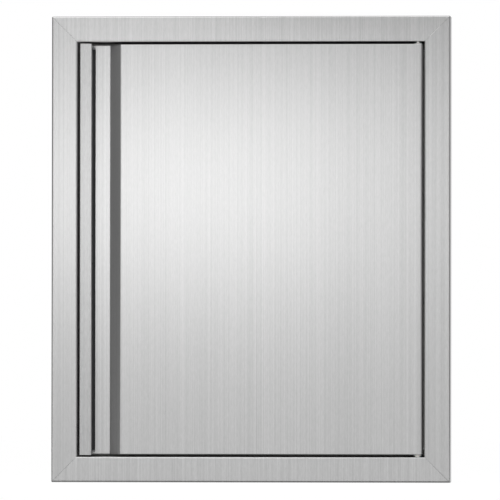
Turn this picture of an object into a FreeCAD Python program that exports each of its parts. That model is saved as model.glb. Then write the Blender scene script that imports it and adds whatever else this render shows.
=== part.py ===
"""A stainless access door for a masonry barbecue island: a mitred picture frame with a sleeve that drops
into the cutout, and a hollow hinged door with a full-height pull recess down its latch side.

Millimetres. +X is to the right as seen from the front, the front faces -Y and +Z is up. The origin is on the
wall plane, at the middle of the bottom rail's rear hem.
"""

import FreeCAD, Part
import math
import os
import re

import Sketcher
from FreeCAD import Placement, Rotation, Vector

DRIVING_SIZES = [
    # frame
    ("frame_width", "457.2", "overall width of the frame, 18 in"),
    ("frame_height", "533.4", "overall height of the frame, 21 in"),
    ("frame_depth", "25", "how far the face stands proud of the wall"),
    ("face_width", "29.6", "outer edge of the frame to the inside of the opening"),
    ("sleeve_depth", "38", "reach of the sleeve into the cutout"),
    ("frame_sheet", "1", "thickness of the frame's sheet"),
    ("frame_bend", "2", "outside radius of the frame's folds"),
    ("hem_width", "10", "rear return that lies on the wall"),
    ("mitre_gap", "0.2", "seam between two mitred members"),
    ("corner_round", "1.8", "ground rounding of the four outer corners"),
    ("mount_hole", "5", "diameter of the fixing holes in the sleeve"),
    ("mount_hole_setback", "29", "fixing holes behind the wall plane"),
    ("mount_hole_spacing", "300", "between the two fixing holes of a side"),
    # plates behind the mitres
    ("corner_plate_sheet", "1.5", "thickness of the plates behind the mitres"),
    ("corner_plate_arm", "60", "length of each arm from the outer corner"),
    ("corner_plate_width", "10", "width of each arm"),
    # door
    ("door_gap", "2.5", "gap between door and frame all round"),
    ("door_depth", "24", "front of the door to the back of its liner"),
    ("door_sheet", "1", "thickness of the door's sheets"),
    ("door_bend", "2.4", "outside radius of the door's folds"),
    ("door_end_round", "1.2", "outside radius of the folds along top and bottom"),
    ("recess_depth", "17", "door face to recess floor"),
    ("recess_mouth", "32.7", "free edge of the lip to the edge of the main panel"),
    ("recess_wall_run", "13", "width that the sloping recess wall takes up"),
    ("recess_slot_width", "5", "slot in the recess floor, half of it under the lip"),
    ("recess_slot_end", "3", "ends of the slot from the ends of the door"),
    ("pull_lip_width", "14.2", "width of the pull lip"),
    ("pull_lip_hem", "5", "width of the lip's turned-back hem"),
    ("pull_lip_hem_depth", "3", "thickness over the hem"),
    ("pull_lip_bend", "1.3", "outside radius of the lip's folds"),
    ("pull_lip_overshoot", "0.8", "how far the lip passes the skin at each end"),
    ("liner_flange", "5", "depth of the liner's flanges"),
    ("liner_bend", "1.6", "outside radius of the liner's folds"),
    ("liner_corner", "3", "rounding of the liner's four corners"),
    ("liner_clearance", "0.1", "between the liner and what it fits in"),
    # pivots
    ("pivot_inset", "5.2", "pivot axis from the door's side and from its face"),
    ("pivot_diameter", "5", "diameter of the pivot pins"),
    ("pivot_clearance", "0.05", "radial running clearance of the pins in the bushes"),
    ("pivot_engagement", "12", "length of pin inside the door"),
    ("pivot_tip_chamfer", "0.8", "chamfer at the tip of each pin"),
    ("bush_wall", "1.2", "wall of the bushes"),
    ("bush_flange", "0.8", "thickness of the bush's flange"),
    ("bush_flange_diameter", "9", "diameter of the bush's flange"),
    ("bush_tail", "4", "bush below its hinge plate"),
    ("seat_clearance", "0.05", "radial clearance of pieces that sit in holes"),
    ("collar_diameter", "8.4", "diameter of the lower pin's collar"),
    ("collar_thickness", "1", "thickness of the lower pin's collar"),
    ("thrust_gap", "0.1", "play above the thrust washer"),
    ("block_length", "26", "length of a pivot block along the rail"),
    ("block_height", "9", "height of a pivot block off the sleeve"),
    ("block_depth", "14", "depth of a pivot block behind the face"),
    ("block_edge_round", "1.5", "rounding of the block's front edges, clear of the frame's fold"),
    ("hinge_plate_length", "34", "length of the hinge plates in the door"),
    ("hinge_plate_depth", "17", "depth of the hinge plates in the door"),
    ("hinge_plate_thickness", "3", "thickness of the hinge plates"),
    ("hinge_plate_clearance", "0.3", "hinge plate to the skin's walls"),
    ("bolt_head_across", "8", "width across flats of the upper bolt's head"),
    ("bolt_head_height", "3.5", "height of the upper bolt's head"),
    ("lock_washer_thickness", "1.4", "thickness of the split lock washer"),
    ("lock_washer_diameter", "8.2", "outside diameter of the split lock washer"),
    ("lock_washer_sweep", "350", "angle that the split washer goes round"),
    ("rivet_tail_diameter", "8", "peened tail of the lower pin"),
    ("rivet_tail_height", "2", "height of the peened tail"),
    # stops round the opening
    ("stop_sheet", "1.2", "thickness of the stop angles"),
    ("stop_bend", "2", "outside radius of their folds"),
    ("stop_behind_door", "4", "stop faces behind the back of the door"),
    ("stop_leg", "22", "reach of the latch side's stop into the opening"),
    ("side_stop_leg", "9", "reach of the other three"),
    ("stop_wall_leg", "17", "depth of the legs on the sleeve"),
    ("stop_end_play", "0.3", "between the ends of the stops and what they meet"),
    ("bumper_diameter", "9", "diameter of the rubber bumpers"),
    ("bumper_chamfer", "1", "chamfer round the bumper's pad"),
    ("bumper_spacing", "340", "between the two bumpers"),
    ("bumper_stem", "4", "diameter of the bumper's stem"),
    ("bumper_barb", "5.6", "diameter of the barb behind the stop"),
    ("bumper_barb_length", "3", "length of the barb"),
    ("bumper_barb_tip", "2", "diameter of the barb's tip"),
    ("closing_gap", "0.3", "play between closed door and what it closes on"),
    ("stop_rivet_count", "4", "rivets that hold the stop angle"),
    ("stop_rivet_spacing", "125", "between those rivets"),
    ("stop_rivet_setback", "10", "rivets behind the stop face"),
    ("rivet_diameter", "3.2", "shank of the blind rivets"),
    ("rivet_head_diameter", "6.4", "head of the blind rivets"),
    ("rivet_head_flat", "3.2", "flat top of that head"),
    ("rivet_head_height", "1", "height of the rivet heads"),
    ("rivet_bulb_diameter", "4.6", "bulb behind the sheets"),
    ("rivet_bulb_height", "1.6", "height of that bulb"),
    # magnetic catch
    ("catch_inset", "13.5", "catch centre from the sleeve's inside"),
    ("catch_length", "60", "height of the catch housing"),
    ("catch_width", "14", "width of the catch housing"),
    ("catch_depth", "12", "depth of the catch housing"),
    ("catch_edge_round", "2", "rounding of the housing's corners"),
    ("catch_fit", "0.1", "play round the magnet and its pole plates"),
    ("magnet_length", "28", "height of the magnet"),
    ("magnet_thickness", "4", "thickness of the magnet"),
    ("magnet_setback", "0.8", "magnet behind the pole faces"),
    ("pole_thickness", "1.5", "thickness of a pole plate"),
    ("pole_depth", "12", "depth of a pole plate"),
    ("catch_window_play", "0.5", "stop angle's window round the pole plates"),
    ("catch_screw_spacing", "46", "between the two catch screws"),
    ("catch_screw_diameter", "3.2", "shank of the catch screws"),
    ("catch_screw_head", "6", "head of the catch screws"),
    ("catch_screw_head_flat", "4", "flat top of that head"),
    ("catch_screw_head_height", "1.6", "height of that head"),
    ("catch_screw_length", "9", "length under the head"),
    ("strike_length", "44", "height of the strike plate"),
    ("strike_width", "12", "width of the strike plate"),
    ("strike_sheet", "1.2", "thickness of the strike plate"),
    ("strike_round", "2", "corner rounding of the strike plate"),
    ("strike_rivet_spacing", "32", "between the two strike rivets"),
    ("strike_rivet_diameter", "2.4", "shank of the strike rivets"),
    ("strike_rivet_head", "4.2", "countersunk head of the strike rivets"),
    ("strike_rivet_bulb", "3.4", "bulb inside the liner"),
]

PLACES = [
    ("frame_left", "-Sizes.frame_width / 2"),
    ("frame_right", "Sizes.frame_width / 2"),
    ("frame_bottom", "-(Sizes.frame_bend + Sizes.hem_width) / 2"),
    ("frame_top", "frame_bottom + Sizes.frame_height"),
    ("face_front", "-Sizes.frame_depth"),
    ("opening_left", "frame_left + Sizes.face_width"),
    ("opening_right", "frame_right - Sizes.face_width"),
    ("opening_bottom", "frame_bottom + Sizes.face_width"),
    ("opening_top", "frame_top - Sizes.face_width"),
    ("opening_middle", "(opening_bottom + opening_top) / 2"),
    ("door_left", "opening_left + Sizes.door_gap"),
    ("door_right", "opening_right - Sizes.door_gap"),
    ("door_bottom", "opening_bottom + Sizes.door_gap"),
    ("door_top", "opening_top - Sizes.door_gap"),
    ("door_height", "door_top - door_bottom"),
    ("door_front", "face_front"),
    ("door_back", "door_front + Sizes.door_depth"),
    ("skin_left", "door_left + Sizes.door_sheet"),
    ("recess_floor", "door_front + Sizes.recess_depth"),
    ("lip_free_edge", "door_left + Sizes.pull_lip_width"),
    ("recess_mouth_end", "lip_free_edge + Sizes.recess_mouth"),
    ("recess_floor_end", "recess_mouth_end - Sizes.recess_wall_run"),
    ("pivot_x", "door_right - Sizes.pivot_inset"),
    ("pivot_y", "door_front + Sizes.pivot_inset"),
    ("pin_r", "Sizes.pivot_diameter / 2"),
    ("bush_bore_r", "pin_r + Sizes.pivot_clearance"),
    ("bush_r", "bush_bore_r + Sizes.bush_wall"),
    ("bush_hole_r", "bush_r + Sizes.seat_clearance"),
    ("pin_hole_r", "pin_r + Sizes.seat_clearance"),
    ("thrust_washer", "Sizes.door_gap - Sizes.collar_thickness - Sizes.bush_flange - Sizes.thrust_gap"),
    ("stop_front", "door_back + Sizes.stop_behind_door"),
    ("stop_back", "stop_front + Sizes.stop_sheet"),
    ("stop_rivet_y", "stop_front + Sizes.stop_rivet_setback"),
    ("stop_width", "opening_right - opening_left - 2 * Sizes.stop_end_play"),
    ("stop_height", "opening_top - opening_bottom - 2 * (Sizes.side_stop_leg + Sizes.stop_end_play)"),
    ("catch_x", "opening_left + Sizes.catch_inset"),
    ("strike_back", "door_back + Sizes.strike_sheet"),
    ("pole_front", "strike_back + Sizes.closing_gap"),
    ("magnet_front", "pole_front + Sizes.magnet_setback"),
    ("pole_back", "pole_front + Sizes.pole_depth"),
    ("catch_pack_width", "Sizes.magnet_thickness + 2 * Sizes.pole_thickness"),
]

ACROSS = Vector(1, 0, 0)
INWARD = Vector(0, 1, 0)
OUTWARD = Vector(0, -1, 0)
UPWARD = Vector(0, 0, 1)
PIVOT = ("pivot_x", "pivot_y")
STOP_END = "(side_stop_leg + stop_end_play)"

doc = FreeCAD.newDocument("access_door")


def fill_sheet(name, rows):
    sheet = doc.addObject("Spreadsheet::Sheet", name)
    for row, (alias, content, note) in enumerate(rows, 1):
        sheet.set(f"A{row}", alias)
        sheet.set(f"B{row}", content)
        sheet.setAlias(f"B{row}", alias)
        sheet.set(f"C{row}", note)
    return sheet


sizes = fill_sheet("Sizes", DRIVING_SIZES)
places = fill_sheet("Places", [(alias, f"={formula}", "") for alias, formula in PLACES])
doc.recompute()

OWNER = {alias: "Sizes" for alias, _, _ in DRIVING_SIZES} | {alias: "Places" for alias, _ in PLACES}


def bound(text):
    """The expression with its sheet's name in front of each alias."""

    def full_name(word):
        return f"{OWNER[word[0]]}.{word[0]}" if word[0] in OWNER else word[0]

    return re.sub(r"[a-z]\w*", full_name, text)


def value(text):
    """What the expression comes to now."""
    return float(places.evalExpression(bound(text)))


def bind(target, **expressions):
    """Binds properties to expressions. Base_x, Base_y and Base_z stand for the placement's coordinates."""
    for name, text in expressions.items():
        path = name.replace("Base_", "Placement.Base.")
        target.setExpression(path, bound(text))
    return target


# sketches


def toward(start, end):
    return (end - start).normalize()


def corner_arc(before, corner, after, radius):
    """Where a rounding of this radius leaves the two sides of a corner, and the middle of its arc."""
    one = toward(corner, before)
    other = toward(corner, after)
    half = one.getAngle(other) / 2
    run = radius / math.tan(half)
    middle = corner + (one + other).normalize() * (radius / math.sin(half) - radius)
    return corner + one * run, middle, corner + other * run


def draw(sketch, corners, closed=True):
    """Draws straight sides through corners (x, y) or (x, y, radius), each a bound expression."""
    spots = [Vector(value(c[0]), value(c[1]), 0) for c in corners]
    count = len(corners)
    arcs = [
        corner_arc(spots[i - 1], spots[i], spots[(i + 1) % count], value(c[2])) if len(c) > 2 else None
        for i, c in enumerate(corners)
    ]

    def pin(geometry, point, corner):
        for kind, text in zip(("DistanceX", "DistanceY"), corner):
            made = sketch.addConstraint(Sketcher.Constraint(kind, -1, 1, geometry, point, value(text)))
            sketch.setExpression(f"Constraints[{made}]", bound(text))

    sides = []
    for i in range(count if closed else count - 1):
        j = (i + 1) % count
        start = arcs[i][2] if arcs[i] else spots[i]
        end = arcs[j][0] if arcs[j] else spots[j]
        sides.append(sketch.addGeometry(Part.LineSegment(start, end), False))
    for i, corner in enumerate(corners):
        into = sides[i - 1] if closed or i else None
        out = sides[i] if i < len(sides) else None
        if arcs[i]:
            arrive, middle, depart = arcs[i]
            left_turn = (middle - arrive).cross(depart - middle).z > 0
            ends = (arrive, middle, depart) if left_turn else (depart, middle, arrive)
            arc = sketch.addGeometry(Part.Arc(*ends), False)
            near = 1 if left_turn else 2
            sketch.addConstraint(Sketcher.Constraint("Tangent", into, 2, arc, near))
            sketch.addConstraint(Sketcher.Constraint("Tangent", arc, 3 - near, out, 1))
            radius = sketch.addConstraint(Sketcher.Constraint("Radius", arc, value(corner[2])))
            sketch.setExpression(f"Constraints[{radius}]", bound(corner[2]))
            sharp = sketch.addGeometry(Part.Point(spots[i]), True)
            pin(sharp, 1, corner)
            sketch.addConstraint(Sketcher.Constraint("PointOnObject", sharp, 1, into))
            sketch.addConstraint(Sketcher.Constraint("PointOnObject", sharp, 1, out))
        elif into is None:
            pin(out, 1, corner)
        else:
            pin(into, 2, corner)
            if out is not None:
                sketch.addConstraint(Sketcher.Constraint("Coincident", into, 2, out, 1))
    return sketch


def circle(sketch, x, y, radius):
    """Adds a circle whose centre and radius stay bound."""
    outline = Part.Circle(Vector(value(x), value(y), 0), UPWARD, value(radius))
    made = sketch.addGeometry(outline, False)
    for kind, text in (("DistanceX", x), ("DistanceY", y)):
        row = sketch.addConstraint(Sketcher.Constraint(kind, -1, 1, made, 3, value(text)))
        sketch.setExpression(f"Constraints[{row}]", bound(text))
    row = sketch.addConstraint(Sketcher.Constraint("Radius", made, value(radius)))
    sketch.setExpression(f"Constraints[{row}]", bound(radius))
    return sketch


def free_sketch(name, corners, closed=True):
    return draw(doc.addObject("Sketcher::SketchObject", name), corners, closed)


def rectangle(left, bottom, right, top, radius=None):
    rest = (radius,) if radius else ()
    return [(left, bottom, *rest), (right, bottom, *rest), (right, top, *rest), (left, top, *rest)]


def centred(width, height, radius=None):
    half = (f"({width}) / 2", f"({height}) / 2")
    return rectangle(f"-{half[0]}", f"-{half[1]}", *half, radius)


# bodies


def new_body(name):
    body = doc.addObject("PartDesign::Body", name)
    body.Label = name
    return body


def body_sketch(body, name, plane):
    sketch = body.newObject("Sketcher::SketchObject", name)
    support = next(f for f in body.Origin.OriginFeatures if f.Role == plane)
    sketch.AttachmentSupport = [(support, "")]
    sketch.MapMode = "FlatFace"
    return sketch


def pad(body, sketch, length, reverse=False):
    feature = body.newObject("PartDesign::Pad", f"{body.Name}_pad")
    feature.Profile = sketch
    feature.Reversed = reverse
    bind(feature, Length=length)
    doc.recompute()
    return feature


def drill(body, sketch):
    """Cuts the sketch through the whole body, both ways from its plane."""
    before = body.Shape.Volume
    feature = body.newObject("PartDesign::Pocket", f"{body.Name}_hole")
    feature.Profile = sketch
    feature.Type = "ThroughAll"
    feature.SideType = "Symmetric"
    doc.recompute()
    if not body.Shape.Volume < before:
        raise RuntimeError(f"{body.Label}: the hole cuts nothing")
    return feature


def round_edges(body, base, radius, chosen):
    """Rounds the edges of base that the test chosen picks."""
    names = [f"Edge{i}" for i, edge in enumerate(base.Shape.Edges, 1) if chosen(edge.BoundBox)]
    feature = body.newObject("PartDesign::Fillet", f"{body.Name}_round")
    feature.Base = (base, names)
    bind(feature, Radius=radius)
    doc.recompute()
    return feature


def hollow_out(body, base, thickness, open_y):
    """Shells the body to a sheet's thickness, open at its flat face on the plane y = open_y."""
    names = [
        f"Face{i}"
        for i, face in enumerate(base.Shape.Faces, 1)
        if abs(face.BoundBox.YMin - open_y) + abs(face.BoundBox.YMax - open_y) < 1e-5
    ]
    feature = body.newObject("PartDesign::Thickness", f"{body.Name}_sheet")
    feature.Base = (base, names)
    feature.Mode = "Skin"
    feature.Join = "Arc"
    feature.Reversed = True
    bind(feature, Value=thickness)
    doc.recompute()
    return feature


def turned(name, profile, sweep="360"):
    """A body turned about its own Z from a half profile of (radius, height) corners."""
    body = new_body(name)
    sketch = draw(body_sketch(body, f"{name}_profile", "XZ_Plane"), profile)
    feature = body.newObject("PartDesign::Revolution", f"{name}_turning")
    feature.Profile = sketch
    feature.ReferenceAxis = (sketch, ["V_Axis"])
    bind(feature, Angle=sweep)
    return body


# plain solids and groups


def extrude(name, profile, length, **at):
    solid = doc.addObject("Part::Extrusion", name)
    solid.Base = profile
    solid.DirMode = "Normal"
    solid.Solid = True
    return bind(solid, LengthFwd=length, **at)


def folded_sheet(name, path, thickness):
    """The cross section of a folded sheet that lies to the left of its path."""
    section = doc.addObject("Part::Offset2D", name)
    section.Source = free_sketch(f"{name}_path", path, closed=False)
    section.Fill = True
    section.Mode = "Skin"
    section.Join = "Intersection"
    bind(section, Value=f"-{thickness}")
    return section


def through(sheet):
    """The length of a cutter that passes well through a sheet."""
    return f"4 * {sheet}"


def rod(name, axis, radius, length, x, y, z):
    """A cylinder centred on the point and lying along the axis."""
    solid = doc.addObject("Part::Cylinder", name)
    turn = Rotation(UPWARD, axis)
    solid.Placement = Placement(Vector(), turn)
    back = [f" - ({length}) / 2 * {c:g}" if c else "" for c in axis]
    places_at = {"Base_x": x + back[0], "Base_y": y + back[1], "Base_z": z + back[2]}
    return bind(solid, Radius=radius, Height=length, **places_at)


def block(name, size, x, y, z):
    """A box with its low corner at the point."""
    solid = doc.addObject("Part::Box", name)
    return bind(solid, Length=size[0], Width=size[1], Height=size[2], Base_x=x, Base_y=y, Base_z=z)


def cut_from(name, base, tools):
    result = doc.addObject("Part::Cut", name)
    result.Base = base
    result.Tool = group(f"{name}_cuts", tools)
    result.Label = name
    return result


def group(name, members):
    made = doc.addObject("Part::Compound", name)
    made.Links = members
    made.Label = name
    return made


def turned_copies(name, profile, axis, spots):
    """The same turned piece at each spot (x, y, z), its own Z laid along the axis."""
    sketch = free_sketch(f"{name}_profile", profile)
    sketch.Placement = Placement(Vector(), Rotation(ACROSS, 90))
    copies = []
    for number, (x, y, z) in enumerate(spots, 1):
        copy = doc.addObject("Part::Revolution", f"{name}_{number}")
        copy.Source = sketch
        copy.Axis = UPWARD
        copy.Solid = True
        copy.Placement = Placement(Vector(), Rotation(UPWARD, axis))
        copies.append(bind(copy, Base_x=x, Base_y=y, Base_z=z))
    return group(name, copies)


def spread(count, spacing, middle):
    """Expressions for count places with this spacing about a middle."""
    return [f"{middle} + ({number - (count - 1) / 2:g}) * {spacing}" for number in range(count)]


# frame

QUARTER_TURNS = [
    # name, length, where its outer corner starts, turn about Y
    ("frame_left_stile", "frame_height", "frame_left", "frame_bottom", 0),
    ("frame_bottom_rail", "frame_width", "frame_right", "frame_bottom", -90),
    ("frame_right_stile", "frame_height", "frame_right", "frame_top", 180),
    ("frame_top_rail", "frame_width", "frame_left", "frame_top", 90),
]


def frame_section():
    """Hem on the wall, outer lip, face, then the return that runs back as the sleeve."""
    path = [
        ("hem_width", "0"),
        ("0", "0", "frame_bend"),
        ("0", "-frame_depth", "frame_bend"),
        ("face_width", "-frame_depth", "frame_bend"),
        ("face_width", "sleeve_depth"),
    ]
    return folded_sheet("frame_section", path, "frame_sheet")


def mitred_member(section, name, length, corner_x, corner_z, turn):
    """The section along its length, mitred at both ends and rounded at the outer corners."""
    past = "face_width + frame_sheet"
    seam = "mitre_gap / sqrt(2)"
    mitre = [
        (f"-({seam})", "0"),
        (past, f"{past} + {seam}"),
        (past, f"{length} - ({past}) - {seam}"),
        (f"-({seam})", length),
    ]
    rounded = [("0", "0", "corner_round"), (past, "0"), (past, length), ("0", length, "corner_round")]
    bar = extrude(f"{name}_bar", section, length)
    envelopes = []
    for kind, corners in (("mitre", mitre), ("corners", rounded)):
        sketch = free_sketch(f"{name}_{kind}_outline", corners)
        sketch.Placement = Placement(Vector(), Rotation(ACROSS, 90))
        bind(sketch, Base_y="sleeve_depth + frame_sheet")
        envelopes.append(extrude(f"{name}_{kind}", sketch, "frame_depth + sleeve_depth + 2 * frame_sheet"))
    member = doc.addObject("Part::MultiCommon", f"{name}_blank")
    member.Shapes = [bar, *envelopes]
    member.Placement = Placement(Vector(), Rotation(INWARD, turn))
    return bind(member, Base_x=corner_x, Base_z=corner_z)


def stile_holes(side):
    """Fixing holes through one side of the sleeve."""
    cutter = (ACROSS, "mount_hole / 2", through("frame_sheet"), f"opening_{side}", "mount_hole_setback")
    return [
        rod(f"{side}_fixing_hole_{i}", *cutter, z)
        for i, z in enumerate(spread(2, "mount_hole_spacing", "opening_middle"), 1)
    ]


def stop_rivet_spots():
    count = int(value("stop_rivet_count"))
    heights = spread(count, "stop_rivet_spacing", "opening_middle")
    return [("opening_left", "stop_rivet_y", z) for z in heights]


def stop_rivet_holes(name):
    radius = "rivet_diameter / 2 + seat_clearance"
    return [
        rod(f"{name}_{i}", ACROSS, radius, through("stop_sheet"), *spot)
        for i, spot in enumerate(stop_rivet_spots(), 1)
    ]


def pin_hole(name, wall):
    return rod(name, UPWARD, "pin_hole_r", through("frame_sheet"), *PIVOT, wall)


def frame():
    section = frame_section()
    holes = {
        "frame_left_stile": stile_holes("left") + stop_rivet_holes("stile_rivet_hole"),
        "frame_right_stile": stile_holes("right"),
        "frame_bottom_rail": [pin_hole("lower_pin_hole", "opening_bottom")],
        "frame_top_rail": [pin_hole("upper_pin_hole", "opening_top")],
    }
    return [
        cut_from(name, mitred_member(section, name, *rest), holes[name])
        for name, *rest in QUARTER_TURNS
    ]


def corner_plates():
    """An L-shaped plate behind each mitre, against the back of the face and clear of the outer fold."""
    inner = "frame_bend + corner_plate_width"
    outline = [
        ("frame_bend", "frame_bend"),
        ("corner_plate_arm", "frame_bend"),
        ("corner_plate_arm", inner),
        (inner, inner),
        (inner, "corner_plate_arm"),
        ("frame_bend", "corner_plate_arm"),
    ]
    sketch = free_sketch("corner_plate_outline", outline)
    sketch.Placement = Placement(Vector(), Rotation(ACROSS, 90))
    plates = []
    for name, _, corner_x, corner_z, turn in QUARTER_TURNS:
        plate = extrude(f"corner_plate_{turn % 360}", sketch, "corner_plate_sheet")
        plate.Placement = Placement(Vector(), Rotation(INWARD, turn))
        back = "face_front + frame_sheet + corner_plate_sheet"
        plates.append(bind(plate, Base_x=corner_x, Base_y=back, Base_z=corner_z))
    return group("frame_corner_plates", plates)


# pivots, fixed to the frame


def pivot_block(name, base):
    """A block on the outside of the sleeve that carries a pivot pin behind the face."""
    body = new_body(name)
    left = "pivot_x - block_length / 2"
    front = "face_front + frame_sheet"
    outline = rectangle(left, front, f"{left} + block_length", f"{front} + block_depth")
    bar = pad(body, draw(body_sketch(body, f"{name}_outline", "XY_Plane"), outline), "block_height")
    face_y = value(front)
    round_edges(body, bar, "block_edge_round", lambda b: b.ZLength + abs(b.YMax - face_y) < 1e-5)
    drill(body, circle(body_sketch(body, f"{name}_bore", "XY_Plane"), *PIVOT, "pin_hole_r"))
    return bind(body, Base_z=base)


def on_pivot(body, height):
    return bind(body, Base_x="pivot_x", Base_y="pivot_y", Base_z=height)


def upper_pivot_bolt():
    """A hexagon bolt that screws down through its block, so that the door can be taken off."""
    reach = "frame_sheet + door_gap + pivot_engagement + block_height + lock_washer_thickness"
    body = turned(
        "upper_pivot_bolt",
        [
            ("0", f"-({reach})"),
            ("pin_r - pivot_tip_chamfer", f"-({reach})"),
            ("pin_r", f"-({reach}) + pivot_tip_chamfer"),
            ("pin_r", "0"),
            ("0", "0"),
        ],
    )
    head = body_sketch(body, "bolt_head_outline", "XY_Plane")
    corner_r = "bolt_head_across / 2 / cos(30)"
    corners = [(f"{corner_r} * cos({60 * i})", f"{corner_r} * sin({60 * i})") for i in range(6)]
    pad(body, draw(head, corners), "bolt_head_height")
    return on_pivot(body, "opening_top + frame_sheet + block_height + lock_washer_thickness")


def upper_lock_washer():
    ring = rectangle("pin_hole_r", "0", "lock_washer_diameter / 2", "lock_washer_thickness")
    body = turned("upper_lock_washer", ring, "lock_washer_sweep")
    return on_pivot(body, "opening_top + frame_sheet + block_height")


def lower_pivot_pin():
    """Peened under its block, with a collar on the sleeve and a plain journal that the door turns on."""
    tip = "door_gap + pivot_engagement"
    under = "-(frame_sheet + block_height)"
    body = turned(
        "lower_pivot_pin",
        [
            ("0", f"{under} - rivet_tail_height"),
            ("rivet_tail_diameter / 2 - pivot_tip_chamfer", f"{under} - rivet_tail_height"),
            ("rivet_tail_diameter / 2", under),
            ("pin_r", under),
            ("pin_r", "0"),
            ("collar_diameter / 2", "0"),
            ("collar_diameter / 2", "collar_thickness"),
            ("pin_r", "collar_thickness"),
            ("pin_r", f"{tip} - pivot_tip_chamfer"),
            ("pin_r - pivot_tip_chamfer", tip),
            ("0", tip),
        ],
    )
    return on_pivot(body, "opening_bottom")


def lower_thrust_washer():
    ring = rectangle("bush_bore_r", "0", "collar_diameter / 2", "thrust_washer")
    return on_pivot(turned("lower_thrust_washer", ring), "opening_bottom + collar_thickness")


# door


def door_skin():
    """One sheet: slotted recess floor, sloping wall, main panel and hinge side, its ends folded back."""
    body = new_body("door_skin")
    outline = [
        ("skin_left", "door_back"),
        ("skin_left", "recess_floor", "door_bend"),
        ("recess_floor_end", "recess_floor", "door_bend - door_sheet"),
        ("recess_mouth_end", "door_front", "door_bend"),
        ("door_right", "door_front", "door_bend"),
        ("door_right", "door_back"),
    ]
    blank = pad(body, draw(body_sketch(body, "door_skin_outline", "XY_Plane"), outline), "door_height")
    back = value("door_back")
    folded = round_edges(
        body, blank, "door_end_round", lambda b: b.ZLength < 1e-6 and b.YMin < back - 1e-3
    )
    hollow_out(body, folded, "door_sheet", back)
    drill(body, circle(body_sketch(body, "skin_bush_holes", "XY_Plane"), *PIVOT, "bush_hole_r"))
    # a slot nearly as high as the door, dark beside the lip's free edge, lets the hollow door dry out
    slot = rectangle(
        "lip_free_edge - recess_slot_width / 2",
        "recess_slot_end",
        "lip_free_edge + recess_slot_width / 2",
        "door_height - recess_slot_end",
    )
    drill(body, draw(body_sketch(body, "recess_slot_outline", "XZ_Plane"), slot))
    return bind(body, Base_z="door_bottom")


def door_pull_lip():
    """The separate pull: up the door's side, along its face and back under in a hem."""
    path = [
        ("door_left", "door_back"),
        ("door_left", "door_front", "pull_lip_bend"),
        ("lip_free_edge", "door_front", "pull_lip_bend"),
        ("lip_free_edge", "door_front + pull_lip_hem_depth", "pull_lip_bend"),
        ("lip_free_edge - pull_lip_hem", "door_front + pull_lip_hem_depth"),
    ]
    section = folded_sheet("pull_lip_section", path, "door_sheet")
    lip = extrude("door_pull_lip", section, "door_height + 2 * pull_lip_overshoot")
    lip.Label = "door_pull_lip"
    return bind(lip, Base_z="door_bottom - pull_lip_overshoot")


def door_liner():
    """The back pan, its flanges turned forward inside the skin."""
    body = new_body("door_liner")
    outline = rectangle(
        "skin_left + door_sheet + liner_clearance",
        "door_sheet + liner_clearance",
        "door_right - door_sheet - liner_clearance",
        "door_height - door_sheet - liner_clearance",
        "liner_corner",
    )
    blank = pad(body, draw(body_sketch(body, "door_liner_outline", "XZ_Plane"), outline), "liner_flange")
    folded = round_edges(body, blank, "liner_bend", lambda b: abs(b.YMin) + abs(b.YMax) < 1e-6)
    hollow_out(body, folded, "door_sheet", -value("liner_flange"))
    holes = body_sketch(body, "liner_rivet_holes", "XZ_Plane")
    for z in spread(2, "strike_rivet_spacing", "opening_middle - door_bottom"):
        circle(holes, "catch_x", z, "strike_rivet_diameter / 2 + seat_clearance")
    drill(body, holes)
    return bind(body, Base_y="door_back", Base_z="door_bottom")


def hinge_plate(name, base):
    """A plate inside one end of the door that the bush is pressed into."""
    body = new_body(name)
    right = "door_right - door_sheet - hinge_plate_clearance"
    front = "door_front + door_sheet + hinge_plate_clearance"
    left = f"{right} - hinge_plate_length"
    back = f"{front} + hinge_plate_depth"
    outline = rectangle(left, front, right, back, "door_bend - door_sheet")
    pad(body, draw(body_sketch(body, f"{name}_outline", "XY_Plane"), outline), "hinge_plate_thickness")
    drill(body, circle(body_sketch(body, f"{name}_bore", "XY_Plane"), *PIVOT, "bush_hole_r"))
    return bind(body, Base_z=base)


def bush(name, height, upside):
    """A flanged bush, its flange in the gap and its barrel through the skin and the hinge plate."""
    reach = "door_sheet + hinge_plate_thickness + bush_tail"
    profile = [
        ("bush_bore_r", "bush_flange"),
        ("bush_bore_r", f"-({reach})"),
        ("bush_r", f"-({reach})"),
        ("bush_r", "0"),
        ("bush_flange_diameter / 2", "0"),
        ("bush_flange_diameter / 2", "bush_flange"),
    ]
    body = turned(name, profile)
    body.Placement = Placement(Vector(), Rotation(ACROSS, 0 if upside else 180))
    return on_pivot(body, height)


def strike_plate():
    body = new_body("strike_plate")
    outline = centred("strike_width", "strike_length", "strike_round")
    pad(body, draw(body_sketch(body, "strike_outline", "XZ_Plane"), outline), "strike_sheet", reverse=True)
    holes = body_sketch(body, "strike_holes", "XZ_Plane")
    for z in spread(2, "strike_rivet_spacing", "0"):
        circle(holes, "0", z, "strike_rivet_head / 2 + seat_clearance")
    drill(body, holes)
    return bind(body, Base_x="catch_x", Base_y="door_back", Base_z="opening_middle")


def strike_rivets():
    """Their heads fill the plate's holes, and their bulbs spread inside the liner."""
    under = "-door_sheet"
    profile = [
        ("0", "strike_sheet"),
        ("strike_rivet_head / 2", "strike_sheet"),
        ("strike_rivet_head / 2", "0"),
        ("strike_rivet_diameter / 2", "0"),
        ("strike_rivet_diameter / 2", under),
        ("strike_rivet_bulb / 2", under),
        ("strike_rivet_bulb / 2", f"{under} - rivet_bulb_height"),
        ("0", f"{under} - rivet_bulb_height"),
    ]
    spots = [("catch_x", "door_back", z) for z in spread(2, "strike_rivet_spacing", "opening_middle")]
    return turned_copies("strike_rivets", profile, INWARD, spots)


# stops, and the catch on the latch side


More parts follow.
